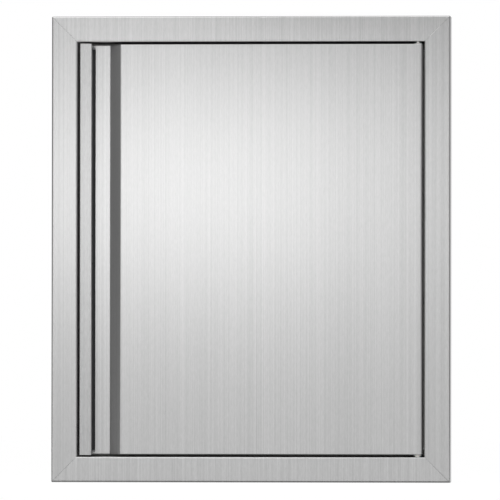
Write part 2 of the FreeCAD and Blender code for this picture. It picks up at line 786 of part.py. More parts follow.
def stop_angle(name, leg, length, x, z, turn):
    """An angle on one side of the sleeve, its leg reaching into the opening behind the door."""
    path = [
        ("0", "stop_front + stop_wall_leg"),
        ("0", "stop_front", "stop_bend"),
        (leg, "stop_front"),
    ]
    angle = extrude(name, folded_sheet(f"{name}_section", path, "stop_sheet"), length)
    angle.Label = name
    angle.Placement = Placement(Vector(), Rotation(INWARD, turn))
    return bind(angle, Base_x=x, Base_z=z)


def side_stop_angles():
    """The hinge side, the top and the bottom."""
    rows = [
        ("hinge_stop_angle", "stop_height", "opening_right", f"opening_top - {STOP_END}", 180),
        ("upper_stop_angle", "stop_width", "opening_left + stop_end_play", "opening_top", 90),
        ("lower_stop_angle", "stop_width", "opening_right - stop_end_play", "opening_bottom", -90),
    ]
    return [stop_angle(name, "side_stop_leg", *rest) for name, *rest in rows]


def latch_stop_angle():
    """The widest stop, with a window for the pole plates and holes for screws and bumpers."""
    low = f"opening_bottom + {STOP_END}"
    bar = stop_angle("stop_bar", "stop_leg", "stop_height", "opening_left", low, 0)
    cutter = through("stop_sheet")
    cuts = stop_rivet_holes("angle_rivet_hole")
    window = ("catch_pack_width + 2 * catch_window_play", cutter, "magnet_length + 2 * catch_window_play")
    cuts.append(
        block(
            "stop_window",
            window,
            "catch_x - catch_pack_width / 2 - catch_window_play",
            "stop_front - stop_sheet",
            "opening_middle - magnet_length / 2 - catch_window_play",
        )
    )
    for piece, diameter, spacing in (
        ("bumper", "bumper_stem", "bumper_spacing"),
        ("screw", "catch_screw_diameter", "catch_screw_spacing"),
    ):
        radius = f"{diameter} / 2 + seat_clearance"
        for i, z in enumerate(spread(2, spacing, "opening_middle"), 1):
            cuts.append(rod(f"{piece}_hole_{i}", INWARD, radius, cutter, "catch_x", "stop_front", z))
    return cut_from("latch_stop_angle", bar, cuts)


def stop_angle_rivets():
    """Blind rivets with their heads inside the opening and their bulbs outside the sleeve."""
    inside = "stop_sheet"
    outside = "-frame_sheet"
    profile = [
        ("0", f"{inside} + rivet_head_height"),
        ("rivet_head_flat / 2", f"{inside} + rivet_head_height"),
        ("rivet_head_diameter / 2", inside),
        ("rivet_diameter / 2", inside),
        ("rivet_diameter / 2", outside),
        ("rivet_bulb_diameter / 2", outside),
        ("rivet_bulb_diameter / 2", f"{outside} - rivet_bulb_height"),
        ("0", f"{outside} - rivet_bulb_height"),
    ]
    return turned_copies("stop_angle_rivets", profile, ACROSS, stop_rivet_spots())


def stop_bumpers():
    """Rubber pads that take the closed door, held by a barbed stem."""
    face = "stop_front - door_back - closing_gap"
    profile = [
        ("0", face),
        ("bumper_diameter / 2 - bumper_chamfer", face),
        ("bumper_diameter / 2", f"{face} - bumper_chamfer"),
        ("bumper_diameter / 2", "0"),
        ("bumper_stem / 2", "0"),
        ("bumper_stem / 2", "-stop_sheet"),
        ("bumper_barb / 2", "-stop_sheet"),
        ("bumper_barb_tip / 2", "-stop_sheet - bumper_barb_length"),
        ("0", "-stop_sheet - bumper_barb_length"),
    ]
    spots = [("catch_x", "stop_front", z) for z in spread(2, "bumper_spacing", "opening_middle")]
    return turned_copies("stop_bumpers", profile, OUTWARD, spots)


def catch_housing():
    """A moulded block behind the stop angle with a pocket for the magnet between its pole plates."""
    body = new_body("catch_housing")
    outline = centred("catch_width", "catch_length", "catch_edge_round")
    pad(body, draw(body_sketch(body, "catch_outline", "XZ_Plane"), outline), "catch_depth", reverse=True)
    pocket = body.newObject("PartDesign::Pocket", "catch_pocket")
    mouth = centred("catch_pack_width + 2 * catch_fit", "magnet_length + 2 * catch_fit")
    pocket.Profile = draw(body_sketch(body, "catch_pocket_outline", "XZ_Plane"), mouth)
    bind(pocket, Length="pole_back - stop_back + catch_fit")
    doc.recompute()
    holes = body_sketch(body, "catch_pilot_holes", "XZ_Plane")
    for z in spread(2, "catch_screw_spacing", "0"):
        circle(holes, "0", z, "catch_screw_diameter / 2")
    drill(body, holes)
    return bind(body, Base_x="catch_x", Base_y="stop_back", Base_z="opening_middle")


def catch_magnet():
    size = ("magnet_thickness", "pole_back - magnet_front", "magnet_length")
    magnet = block(
        "catch_magnet",
        size,
        "catch_x - magnet_thickness / 2",
        "magnet_front",
        "opening_middle - magnet_length / 2",
    )
    magnet.Label = "catch_magnet"
    return magnet


def catch_pole_plates():
    size = ("pole_thickness", "pole_depth", "magnet_length")
    low = "opening_middle - magnet_length / 2"
    left = block("pole_plate_left", size, "catch_x - catch_pack_width / 2", "pole_front", low)
    right = block("pole_plate_right", size, "catch_x + magnet_thickness / 2", "pole_front", low)
    return group("catch_pole_plates", [left, right])


def catch_screws():
    profile = [
        ("0", "catch_screw_head_height"),
        ("catch_screw_head_flat / 2", "catch_screw_head_height"),
        ("catch_screw_head / 2", "catch_screw_head_height / 2"),
        ("catch_screw_head / 2", "0"),
        ("catch_screw_diameter / 2", "0"),
        ("catch_screw_diameter / 2", "-catch_screw_length + catch_screw_diameter / 2"),
        ("0", "-catch_screw_length"),
    ]
    spots = [("catch_x", "stop_front", z) for z in spread(2, "catch_screw_spacing", "opening_middle")]
    return turned_copies("catch_screws", profile, OUTWARD, spots)


# assembly

pieces = [
    *frame(),
    corner_plates(),
    pivot_block("upper_pivot_block", "opening_top + frame_sheet"),
    pivot_block("lower_pivot_block", "opening_bottom - frame_sheet - block_height"),
    upper_pivot_bolt(),
    upper_lock_washer(),
    lower_pivot_pin(),
    lower_thrust_washer(),
    latch_stop_angle(),
    *side_stop_angles(),
    stop_angle_rivets(),
    stop_bumpers(),
    catch_housing(),
    catch_magnet(),
    catch_pole_plates(),
    catch_screws(),
    door_skin(),
    door_pull_lip(),
    door_liner(),
    hinge_plate("door_upper_hinge_plate", "door_top - door_sheet - hinge_plate_thickness"),
    hinge_plate("door_lower_hinge_plate", "door_bottom + door_sheet"),
    bush("door_upper_bush", "door_top", True),
    bush("door_lower_bush", "door_bottom", False),
    strike_plate(),
    strike_rivets(),
]
doc.recompute()

for thing in doc.Objects:
    if {"Invalid", "Error"} & set(thing.State):
        raise RuntimeError(f"{thing.Label} did not build: {thing.State}")
for piece in pieces:
    if piece.Shape.isNull() or not piece.Shape.isValid() or not piece.Shape.Solids:
        raise RuntimeError(f"{piece.Label} has no valid solid")

os.makedirs("parts", exist_ok=True)
for piece in pieces:
    piece.Shape.exportStep(f"parts/{piece.Label}.step")
    print(f"{piece.Label}: {len(piece.Shape.Solids)} solid(s), {piece.Shape.Volume:.0f} mm3")
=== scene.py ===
import math

import bpy
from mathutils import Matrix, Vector


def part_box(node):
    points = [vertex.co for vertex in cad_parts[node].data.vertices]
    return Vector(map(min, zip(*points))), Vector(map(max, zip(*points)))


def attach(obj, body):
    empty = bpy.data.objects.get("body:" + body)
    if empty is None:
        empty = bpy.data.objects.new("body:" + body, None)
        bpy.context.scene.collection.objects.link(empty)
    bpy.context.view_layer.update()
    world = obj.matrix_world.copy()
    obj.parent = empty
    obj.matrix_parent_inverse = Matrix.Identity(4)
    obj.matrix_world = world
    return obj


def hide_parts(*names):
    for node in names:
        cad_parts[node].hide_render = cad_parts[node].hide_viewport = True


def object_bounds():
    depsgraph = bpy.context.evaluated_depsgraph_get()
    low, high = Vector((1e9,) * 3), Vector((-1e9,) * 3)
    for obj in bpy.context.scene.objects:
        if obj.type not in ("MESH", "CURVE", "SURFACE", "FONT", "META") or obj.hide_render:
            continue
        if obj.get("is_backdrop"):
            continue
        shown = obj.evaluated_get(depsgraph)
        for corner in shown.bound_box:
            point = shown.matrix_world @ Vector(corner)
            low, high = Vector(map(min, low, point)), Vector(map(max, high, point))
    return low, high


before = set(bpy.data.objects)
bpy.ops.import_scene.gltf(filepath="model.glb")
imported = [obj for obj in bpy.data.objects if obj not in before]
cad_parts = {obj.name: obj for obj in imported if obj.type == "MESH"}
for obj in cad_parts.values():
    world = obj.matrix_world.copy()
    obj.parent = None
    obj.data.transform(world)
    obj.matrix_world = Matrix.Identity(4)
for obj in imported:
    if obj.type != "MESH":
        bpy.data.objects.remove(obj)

bl_info = {
    "name": "Island access door",
    "version": (1, 0, 0),
    "blender": (4, 5, 0),
    "location": "View3D > Sidebar > Access door",
    "description": "Finishes, fittings and studio stage for a stainless access door",
    "category": "Add Mesh",
}

MM = 0.001
X, Y, Z = Vector((1, 0, 0)), Vector((0, 1, 0)), Vector((0, 0, 1))


def linear(colour):
    """An sRGB hex colour as linear red, green, blue and alpha."""
    channels = [int(colour[i : i + 2], 16) / 255 for i in (1, 3, 5)]
    return [c / 12.92 if c <= 0.04045 else ((c + 0.055) / 1.055) ** 2.4 for c in channels] + [1.0]


def colour_property(name, description, default):
    return bpy.props.FloatVectorProperty(
        name=name, description=description, subtype="COLOR", size=4, default=linear(default)
    )


def length_property(name, description, millimetres):
    return bpy.props.FloatProperty(
        name=name, description=description, unit="LENGTH", default=millimetres * MM
    )


# settings


class SteelSettings(bpy.types.PropertyGroup):
    grain_dark: colour_property("Grain, dark", "Colour at the bottom of the grit lines", "#939393")
    grain_light: colour_property("Grain, light", "Colour between the grit lines", "#CACACA")
    mill_dark: colour_property("Mill finish, dark", "Darker cloud of the unpolished sheet", "#8F9092")
    mill_light: colour_property("Mill finish, light", "Lighter cloud of the unpolished sheet", "#A9AAAC")
    turned: colour_property("Turned steel", "Colour of turned and headed fasteners", "#BEBDBA")
    zinc_dark: colour_property("Zinc, dark", "Darker spangle of the zinc plating", "#9FA4AA")
    zinc_light: colour_property("Zinc, light", "Lighter spangle of the zinc plating", "#C6CACF")
    # the corner plates' dark colour is painted shade seen through the mitres' seams
    scale: colour_property("Scale", "Oxide on the hot-rolled plates", "#2B2928")
    heat_blue: colour_property("Heat tint, blue", "Where a weld was hottest", "#6E7488")
    heat_brown: colour_property("Heat tint, brown", "Between blue and straw", "#8F8880")
    heat_straw: colour_property("Heat tint, straw", "Where a weld was less hot", "#A79C86")
    grain_pitch: length_property("Grain pitch", "Width of a visible streak of grit lines", 0.85)
    streak_length: length_property("Streak length", "Length of the shortest grit scratches", 5)
    edge_round: length_property("Edge rounding", "Deburred edge of a cut sheet", 0.15)


class MouldedSettings(bpy.types.PropertyGroup):
    nylon: colour_property("Nylon", "Grey nylon of the bushes", "#C9C9C7")
    rubber: colour_property("Rubber", "Bumper rubber", "#1B1B1C")
    # the dark foam behind the recess slot is painted shade: it makes the slot read black
    foam: colour_property("Foam", "Closed-cell foam behind the recess", "#454547")
    # the grey foam on the upper and lower stops is painted shade: its tone sets how dark those gaps read
    stop_foam_painted_shade: colour_property("Light foam", "Foam on the upper and lower stops", "#A4A4A2")
    # the white foam on the hinge side's stop is painted light: it brightens the hinge gap
    hinge_foam_painted_light: colour_property("White foam", "Foam on the hinge side's stop", "#EFEFEC")
    plastic: colour_property("Catch plastic", "Body of the magnetic catch", "#26272A")
    ferrite: colour_property("Ferrite", "The magnet", "#2E2E31")
    corner_round: length_property("Moulded corner", "Rounding of the catch's edges", 0.7)


class FittingSettings(bpy.types.PropertyGroup):
    recess_length: length_property("Recess length", "Across the cross recess of a screw", 3.2)
    recess_width: length_property("Recess width", "Width of one wing of the recess", 0.75)
    recess_depth: length_property("Recess depth", "Depth of the recess", 1.2)
    bead_radius: length_property("Weld bead", "Radius of a weld ripple", 1.4)
    bead_step: length_property("Weld step", "From one ripple to the next", 0.9)
    mark_radius: length_property("Spot weld", "Radius of a spot weld's mark", 2.2)
    mark_step: length_property("Spot weld step", "Distance between spot welds", 62)


class StageSettings(bpy.types.PropertyGroup):
    floor_colour: colour_property("Floor", "Colour of the floor", "#F2F2F2")
    floor_glow: bpy.props.FloatProperty(
        name="Floor glow", description="Share of the floor's white that needs no light", default=0.9
    )
    glow_strength: bpy.props.FloatProperty(
        name="Glow strength", description="Makes the unshadowed floor just white", default=1.05
    )
    camera_distance: bpy.props.FloatProperty(
        name="Camera distance", description="From the door's face", unit="LENGTH", default=10.0
    )
    camera_turn: bpy.props.FloatProperty(
        name="Camera turn",
        description="How far round to the hinge side the camera stands",
        subtype="ANGLE",
        default=math.radians(4.485),
    )
    camera_rise: bpy.props.FloatProperty(
        name="Camera rise",
        description="How far the camera looks down, negative where it looks up",
        subtype="ANGLE",
        default=math.radians(-1.2),
    )
    camera_roll: bpy.props.FloatProperty(
        name="Camera roll", description="Tilt of the picture", subtype="ANGLE", default=math.radians(0.077)
    )
    camera_aside: length_property("Camera aside", "How far left of the middle the camera aims", 0.63)
    camera_low: length_property("Camera low", "How far below the middle the camera aims", 0.95)
    frame_width: bpy.props.FloatProperty(
        name="Width in view", description="Width that the picture takes in", unit="LENGTH", default=0.57147
    )
    key_strength: bpy.props.FloatProperty(
        name="Key light", description="Radiance of the soft light", default=3.8
    )
    top_strength: bpy.props.FloatProperty(
        name="Top light", description="Radiance of the large light above", default=1.6
    )
    room_strength: bpy.props.FloatProperty(
        name="Room light", description="Strength of the even light from all round", default=0.6
    )


# nodes


def add(tree, kind, settings=None, **inputs):
    """Adds a node. A value that is a socket is linked, and any other is set on the input.

    An input is named with underscores for its spaces, or numbered after an underscore.
    """
    node = tree.nodes.new(kind)
    for name, content in (settings or {}).items():
        setattr(node, name, content)
    for name, content in inputs.items():
        socket = node.inputs[int(name[1:])] if name[0] == "_" else node.inputs[name.replace("_", " ")]
        if isinstance(content, bpy.types.NodeSocket):
            tree.links.new(content, socket)
        else:
            socket.default_value = content
    return node


def new_material(name):
    material = bpy.data.materials.new(name)
    material.use_nodes = True
    material.node_tree.nodes.clear()
    return material, material.node_tree


def close_material(tree, **inputs):
    shader = add(tree, "ShaderNodeBsdfPrincipled", **inputs)
    add(tree, "ShaderNodeOutputMaterial", Surface=shader.outputs[0])


# metals


def brushed_stainless(name, steel, rail=False, streaks=0.35, shade=1.0, roughness=0.3, matt=()):
    """Stainless sheet, belt-ground upright with a fine grit: soft reflections drawn out sideways.

    The grit lines were laid on the flat sheet, so on a rail they turn round the folds and run back.
    Between each two places in matt, along X, the surface is blasted and stays duller.
    """
    material, tree = new_material(name)
    place = add(tree, "ShaderNodeTexCoord").outputs["Object"]
    fine = 1 / steel.grain_pitch
    # a full-height line is nearly constant along its length, a streak only for a few millimetres
    line_length = 900 * MM
    line, streak = 1 / line_length, 1 / steel.streak_length
    # the noise is weakest on its own lattice planes, so the faces are moved off them
    shift = (0, 0.5, 0.2) if rail else (0, 0, 0.2)
    grain = []
    for along in (line, streak):
        scale = (fine, along, along) if rail else (fine, fine, along)
        spot = add(tree, "ShaderNodeMapping", Vector=place, Location=shift, Scale=scale).outputs[0]
        grain.append(add(tree, "ShaderNodeTexNoise", Vector=spot, Scale=1.0, Detail=3.0).outputs["Fac"])
    height = add(
        tree, "ShaderNodeMix", {"data_type": "FLOAT"}, Factor=streaks, A=grain[0], B=grain[1]
    ).outputs["Result"]
    dark = [c * shade for c in steel.grain_dark]
    light = [c * shade for c in steel.grain_light]
    colour = add(
        tree, "ShaderNodeMix", {"data_type": "RGBA"}, Factor=height, A=dark, B=light
    ).outputs["Result"]
    rough = add(
        tree, "ShaderNodeMapRange", Value=height, To_Min=roughness - 0.05, To_Max=roughness + 0.05
    ).outputs[0]
    bump = add(tree, "ShaderNodeBump", Strength=0.15, Distance=0.02 * MM, Height=height).outputs[0]
    blasted_roughness, fade = 0.54, 1 * MM
    for start, end in matt:
        along = add(tree, "ShaderNodeSeparateXYZ", Vector=place).outputs["X"]
        after = add(
            tree, "ShaderNodeMapRange", Value=along, From_Min=start - fade, From_Max=start + fade
        )
        before = add(tree, "ShaderNodeMapRange", Value=along, From_Min=end + fade, From_Max=end - fade)
        blasted = add(
            tree, "ShaderNodeMath", {"operation": "MULTIPLY"}, _0=after.outputs[0], _1=before.outputs[0]
        ).outputs[0]
        rough = add(
            tree,
            "ShaderNodeMix",
            {"data_type": "FLOAT"},
            Factor=blasted,
            A=rough,
            B=blasted_roughness,
        ).outputs["Result"]
    if rail:
        across = add(tree, "ShaderNodeCombineXYZ", X=1.0).outputs[0]
    else:
        normal = add(tree, "ShaderNodeNewGeometry").outputs["Normal"]
        across = add(
            tree, "ShaderNodeVectorMath", {"operation": "CROSS_PRODUCT"}, _0=normal, _1=Z
        ).outputs[0]
    close_material(
        tree,
        Base_Color=colour,
        Metallic=1.0,
        Roughness=rough,
        Anisotropic=0.4,
        Normal=bump,
        Tangent=across,
    )
    return material


def mill_stainless(steel):
    """Cold-rolled sheet left as it came from the mill: a cloudy satin with faint rolling lines."""
    material, tree = new_material("stainless_mill_rolled")
    place = add(tree, "ShaderNodeTexCoord").outputs["Object"]
    cloud = add(tree, "ShaderNodeTexNoise", Vector=place, Scale=22.0, Detail=4.0).outputs["Fac"]
    rolled = add(tree, "ShaderNodeMapping", Vector=place, Scale=(700, 700, 30)).outputs[0]
    lines = add(tree, "ShaderNodeTexNoise", Vector=rolled, Scale=1.0, Detail=2.0).outputs["Fac"]
    mottle = add(
        tree, "ShaderNodeMix", {"data_type": "FLOAT"}, Factor=0.4, A=cloud, B=lines
    ).outputs["Result"]
    colour = add(
        tree,
        "ShaderNodeMix",
        {"data_type": "RGBA"},
        Factor=mottle,
        A=tuple(steel.mill_dark),
        B=tuple(steel.mill_light),
    ).outputs["Result"]
    rough = add(tree, "ShaderNodeMapRange", Value=mottle, To_Min=0.3, To_Max=0.46)
    bump = add(tree, "ShaderNodeBump", Strength=0.12, Distance=0.02 * MM, Height=lines).outputs[0]
    close_material(tree, Base_Color=colour, Metallic=1.0, Roughness=rough.outputs[0], Normal=bump)
    return material


def seam_shade_stainless(steel):
    """Plate behind the mitres' seams, dark and dull: its dark colour is painted shade seen through the
    seams.
    """
    material, tree = new_material("stainless_painted_seam_shade")
    place = add(tree, "ShaderNodeTexCoord").outputs["Object"]
    scale = add(tree, "ShaderNodeTexNoise", Vector=place, Scale=500.0, Detail=4.0).outputs["Fac"]
    rough = add(tree, "ShaderNodeMapRange", Value=scale, To_Min=0.55, To_Max=0.8)
    bump = add(tree, "ShaderNodeBump", Strength=0.3, Distance=0.03 * MM, Height=scale).outputs[0]
    close_material(tree, Base_Color=tuple(steel.scale), Roughness=rough.outputs[0], Normal=bump)
    return material


def turned_stainless(steel):
    """Bar turned on a lathe or headed cold: bright, with fine tool marks that break up the highlight."""
    material, tree = new_material("stainless_turned")
    place = add(tree, "ShaderNodeTexCoord").outputs["Object"]
    marks = add(tree, "ShaderNodeTexNoise", Vector=place, Scale=2600.0, Detail=2.0).outputs["Fac"]
    stain = add(tree, "ShaderNodeTexNoise", Vector=place, Scale=260.0, Detail=3.0).outputs["Fac"]
    rough = add(tree, "ShaderNodeMapRange", Value=stain, To_Min=0.14, To_Max=0.32)
    bump = add(tree, "ShaderNodeBump", Strength=0.2, Distance=0.02 * MM, Height=marks).outputs[0]
    close_material(
        tree,
        Base_Color=tuple(steel.turned),
        Metallic=1.0,
        Roughness=rough.outputs[0],
        Normal=bump,
    )
    return material


def zinc_plating(steel):
    """Pressed steel, zinc plated in a barrel: a cool silver that varies a little from place to place."""
    material, tree = new_material("steel_zinc_plated")
    place = add(tree, "ShaderNodeTexCoord").outputs["Object"]
    spangle = add(tree, "ShaderNodeTexNoise", Vector=place, Scale=320.0, Detail=5.0).outputs["Fac"]
    colour = add(
        tree,
        "ShaderNodeMix",
        {"data_type": "RGBA"},
        Factor=spangle,
        A=tuple(steel.zinc_dark),
        B=tuple(steel.zinc_light),
    ).outputs["Result"]
    rough = add(tree, "ShaderNodeMapRange", Value=spangle, To_Min=0.22, To_Max=0.42)
    bump = add(tree, "ShaderNodeBump", Strength=0.15, Distance=0.03 * MM, Height=spangle).outputs[0]
    close_material(tree, Base_Color=colour, Metallic=1.0, Roughness=rough.outputs[0], Normal=bump)
    return material


def welded_stainless(steel):
    """Weld metal and its surroundings, heat-tinted from straw to blue and not cleaned."""
    material, tree = new_material("stainless_heat_tinted")
    place = add(tree, "ShaderNodeTexCoord").outputs["Object"]
    heat = add(tree, "ShaderNodeTexNoise", Vector=place, Scale=420.0, Detail=3.0).outputs["Fac"]
    tint = add(tree, "ShaderNodeValToRGB", Fac=heat)
    ramp = tint.color_ramp
    ramp.elements[0].position, ramp.elements[0].color = 0.32, steel.heat_blue
    ramp.elements[1].position, ramp.elements[1].color = 0.68, steel.heat_straw
    ramp.elements.new(0.5).color = steel.heat_brown
    rough = add(tree, "ShaderNodeMapRange", Value=heat, To_Min=0.3, To_Max=0.5)
    close_material(tree, Base_Color=tint.outputs[0], Metallic=1.0, Roughness=rough.outputs[0])
    return material


# plastics, rubber, foam and ferrite


def moulded(name, colour, roughness, grain, depth, translucency=0.0):
    """A moulded or cast skin, of plastic, rubber, foam or sealant: a soft bloom over a fine, dull grain."""
    material, tree = new_material(name)
    place = add(tree, "ShaderNodeTexCoord").outputs["Object"]
    skin = add(tree, "ShaderNodeTexNoise", Vector=place, Scale=grain, Detail=3.0).outputs["Fac"]
    bloom = add(tree, "ShaderNodeTexNoise", Vector=place, Scale=90.0, Detail=2.0).outputs["Fac"]
    tone = add(tree, "ShaderNodeMapRange", Value=bloom, To_Min=0.88, To_Max=1.12).outputs[0]
    shade = add(
        tree, "ShaderNodeVectorMath", {"operation": "SCALE"}, _0=tuple(colour)[:3], Scale=tone
    ).outputs[0]
    rough = add(
        tree, "ShaderNodeMapRange", Value=skin, To_Min=roughness - 0.08, To_Max=roughness + 0.08
    )
    bump = add(tree, "ShaderNodeBump", Strength=0.3, Distance=depth, Height=skin).outputs[0]
    close_material(
        tree,
        Base_Color=shade,
        Roughness=rough.outputs[0],
        Normal=bump,
        Subsurface_Weight=translucency,
        Subsurface_Scale=1 * MM,
    )
    return material


def sintered_ferrite(moulds):
    """A pressed and sintered magnet with ground faces: dark, with fine pits that catch a dull sheen."""
    material, tree = new_material("ferrite_ground")
    place = add(tree, "ShaderNodeTexCoord").outputs["Object"]
    pits = add(tree, "ShaderNodeTexVoronoi", Vector=place, Scale=1800.0).outputs["Distance"]
    rough = add(tree, "ShaderNodeMapRange", Value=pits, To_Min=0.38, To_Max=0.62)
    bump = add(tree, "ShaderNodeBump", Strength=0.4, Distance=0.05 * MM, Height=pits).outputs[0]
    close_material(tree, Base_Color=tuple(moulds.ferrite), Roughness=rough.outputs[0], Normal=bump)
    return material


# pieces


def paint(node, material):
    """Gives a CAD node its material."""
    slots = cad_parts[node].data.materials
    slots.clear()
    slots.append(material)


def deselect():
    if bpy.context.mode != "OBJECT":
        bpy.ops.object.mode_set(mode="OBJECT")
    bpy.ops.object.select_all(action="DESELECT")


def choose(*pieces):
    deselect()
    for piece in pieces:
        piece.select_set(True)
    bpy.context.view_layer.objects.active = pieces[0]


def finish_piece(piece, name, material, body, replaces=(), smooth=35):
    """Names a piece, settles its place into the mesh and hands it to its body."""
    choose(piece)
    bpy.ops.object.transform_apply(location=True, rotation=True, scale=True)
    bpy.ops.object.shade_smooth_by_angle(angle=math.radians(smooth))
    # the flat faces stay flat, and only the folds and rounded edges shade smoothly
    flats = piece.modifiers.new("flats", "WEIGHTED_NORMAL")
    flats.keep_sharp = True
    bpy.ops.object.modifier_apply(modifier=flats.name)
    piece.name = piece.data.name = name
    piece.data.materials.clear()
    piece.data.materials.append(material)
    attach(piece, body)
    if replaces:
        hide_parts(*replaces)
    return piece


def deburred(node, name, material, body, width, segments=2):
    """A copy of a CAD part with its seams merged and its long cut edges rounded."""
    long_edge = 3 * MM
    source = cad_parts[node]
    piece = bpy.data.objects.new(name, source.data.copy())
    piece.matrix_world = source.matrix_world
    bpy.context.scene.collection.objects.link(piece)
    choose(piece)
    bpy.ops.mesh.customdata_custom_splitnormals_clear()
    bpy.ops.object.mode_set(mode="EDIT")
    bpy.ops.mesh.select_all(action="SELECT")
    bpy.ops.mesh.remove_doubles(threshold=0.001 * MM)
    bpy.ops.mesh.dissolve_limited(angle_limit=math.radians(0.3))
    bpy.ops.mesh.select_mode(type="EDGE")
    bpy.ops.mesh.select_all(action="DESELECT")
    bpy.ops.mesh.edges_select_sharp(sharpness=math.radians(40))
    bpy.ops.object.mode_set(mode="OBJECT")
    mesh = piece.data
    weights = mesh.attributes.new("bevel_weight_edge", "FLOAT", "EDGE")
    for edge in mesh.edges:
        start, end = (mesh.vertices[i].co for i in edge.vertices)
        weights.data[edge.index].value = float(edge.select and (end - start).length > long_edge)
    rounding = piece.modifiers.new("cut_edges", "BEVEL")
    rounding.width = width
    rounding.segments = segments
    rounding.limit_method = "WEIGHT"
    rounding.use_clamp_overlap = False
    bpy.ops.object.modifier_apply(modifier=rounding.name)
    return finish_piece(piece, name, material, body, [node], smooth=50)


def lathe(profile, segments=48):
    """Turns a piece about Z: a disc is extruded and resized along radii and heights in millimetres."""
    deselect()
    radius, height = profile[0]
    bpy.ops.mesh.primitive_circle_add(
        vertices=segments, radius=radius * MM, fill_type="NGON", location=(0, 0, height * MM)
    )
    piece = bpy.context.object
    bpy.ops.object.transform_apply(location=True, rotation=True, scale=True)
    bpy.ops.object.mode_set(mode="EDIT")
    bpy.ops.mesh.select_all(action="SELECT")
    for next_radius, next_height in profile[1:]:
        rise = (next_height - height) * MM
        bpy.ops.mesh.extrude_region_move(TRANSFORM_OT_translate={"value": (0, 0, rise)})
        size = next_radius / radius
        bpy.ops.transform.resize(value=(size, size, 1), center_override=(0, 0, 0))
        radius, height = next_radius, next_height
    bpy.ops.mesh.select_all(action="SELECT")
    bpy.ops.mesh.normals_make_consistent(inside=False)
    bpy.ops.object.mode_set(mode="OBJECT")
    return piece


def arc(centre, radius, start, end, steps):
    """Profile points on an arc, its angles in degrees from the outward radius."""
    angles = [math.radians(start + (end - start) * i / steps) for i in range(steps + 1)]
    return [(centre[0] + radius * math.cos(a), centre[1] + radius * math.sin(a)) for a in angles]


def discard(piece):
    choose(piece)
    bpy.ops.object.delete()


def boolean(piece, cutter, operation):
    """Cuts a piece with another one, which is used up."""
    choose(piece)
    cut = piece.modifiers.new("cut", "BOOLEAN")
    cut.operation = operation
    cut.object = cutter
    cut.solver = "EXACT"
    cut.use_self = True
    bpy.ops.object.modifier_apply(modifier=cut.name)
    discard(cutter)


def join(*pieces):
    choose(*pieces)
    bpy.ops.object.join()
    return pieces[0]


def place_copies(model, spots, direction):
    """Joins copies of a modelled piece at their places, with its Z turned along a direction."""
    turn = direction.to_track_quat("Z", "Y").to_euler()
    copies = []
    for spot in spots:
        copy = bpy.data.objects.new(model.name, model.data.copy())
        bpy.context.scene.collection.objects.link(copy)
        copy.rotation_euler = turn
        copy.location = spot
        copies.append(copy)
    return join(*copies)


def rows(node, count, spacing):
    """Places on a node's middle line, evenly spaced up its height."""
    low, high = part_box(node)
    middle = (low + high) / 2
    first = middle.z - spacing * MM * (count - 1) / 2
    return [Vector((middle.x, middle.y, first + i * spacing * MM)) for i in range(count)]


# operators


class ACCESSDOOR_OT_sheets(bpy.types.Operator):
    """Rounds the cut edges of the folded sheets and gives them their ground or mill finish"""

    bl_idname = "accessdoor.sheets"
    bl_label = "Folded sheets"

    def execute(self, context):
        steel = context.scene.access_door_steel
        mill = mill_stainless(steel)
        for node, (material, body, slot) in {
            **self.ground_sheets(steel),
            "door_liner": (mill, "door", "liner_stainless"),
            "latch_stop_angle": (mill, "frame", "plain_stainless"),
            "hinge_stop_angle": (mill, "frame", "plain_stainless"),
            "upper_stop_angle": (mill, "frame", "plain_stainless"),
            "lower_stop_angle": (mill, "frame", "plain_stainless"),
            "frame_corner_plates": (seam_shade_stainless(steel), "frame", "plain_stainless"),
            "upper_pivot_block": (mill, "frame", "plain_stainless"),
            "lower_pivot_block": (mill, "frame", "plain_stainless"),
        }.items():
            deburred(node, f"{node}_deburred", material, body, steel.edge_round)
        for node in ("door_upper_hinge_plate", "door_lower_hinge_plate"):
            paint(node, mill)
        return {"FINISHED"}

    @staticmethod
    def ground_sheets(steel):
        """The sheets in view, with their grain, and the body and slot of each."""
        # the sleeve and the door's hinge side are blasted, so they stay an even grey in the gaps
        fold = 1.2 * MM
        left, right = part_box("frame_left_stile")[1].x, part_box("frame_right_stile")[0].x
        sleeve = (left - fold, right + fold)
        hinge_side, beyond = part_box("door_skin")[1].x, 5 * MM
        side = (hinge_side - fold, hinge_side + beyond)
        # so is the recess's sloping wall, which starts and ends this far from the lip's free edge
        free_edge, wall_start, wall_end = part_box("door_pull_lip")[1].x, 19.7 * MM, 32.7 * MM
        wall = (free_edge + wall_start, free_edge + wall_end)
        rails = brushed_stainless("stainless_belt_ground_rails", steel, rail=True)
        stiles = brushed_stainless("stainless_belt_ground_stiles", steel, shade=0.97, matt=(sleeve,))
        door = brushed_stainless("stainless_belt_ground_door", steel, matt=(wall, side))
        lip = brushed_stainless(
            "stainless_belt_ground_lip", steel, streaks=0.62, shade=0.88, roughness=0.31
        )
        return {
            "frame_top_rail": (rails, "frame", "frame_stainless"),
            "frame_bottom_rail": (rails, "frame", "frame_stainless"),
            "frame_left_stile": (stiles, "frame", "frame_stainless"),
            "frame_right_stile": (stiles, "frame", "frame_stainless"),
            "door_skin": (door, "door", "door_stainless"),
            "door_pull_lip": (lip, "door", "lip_stainless"),
        }


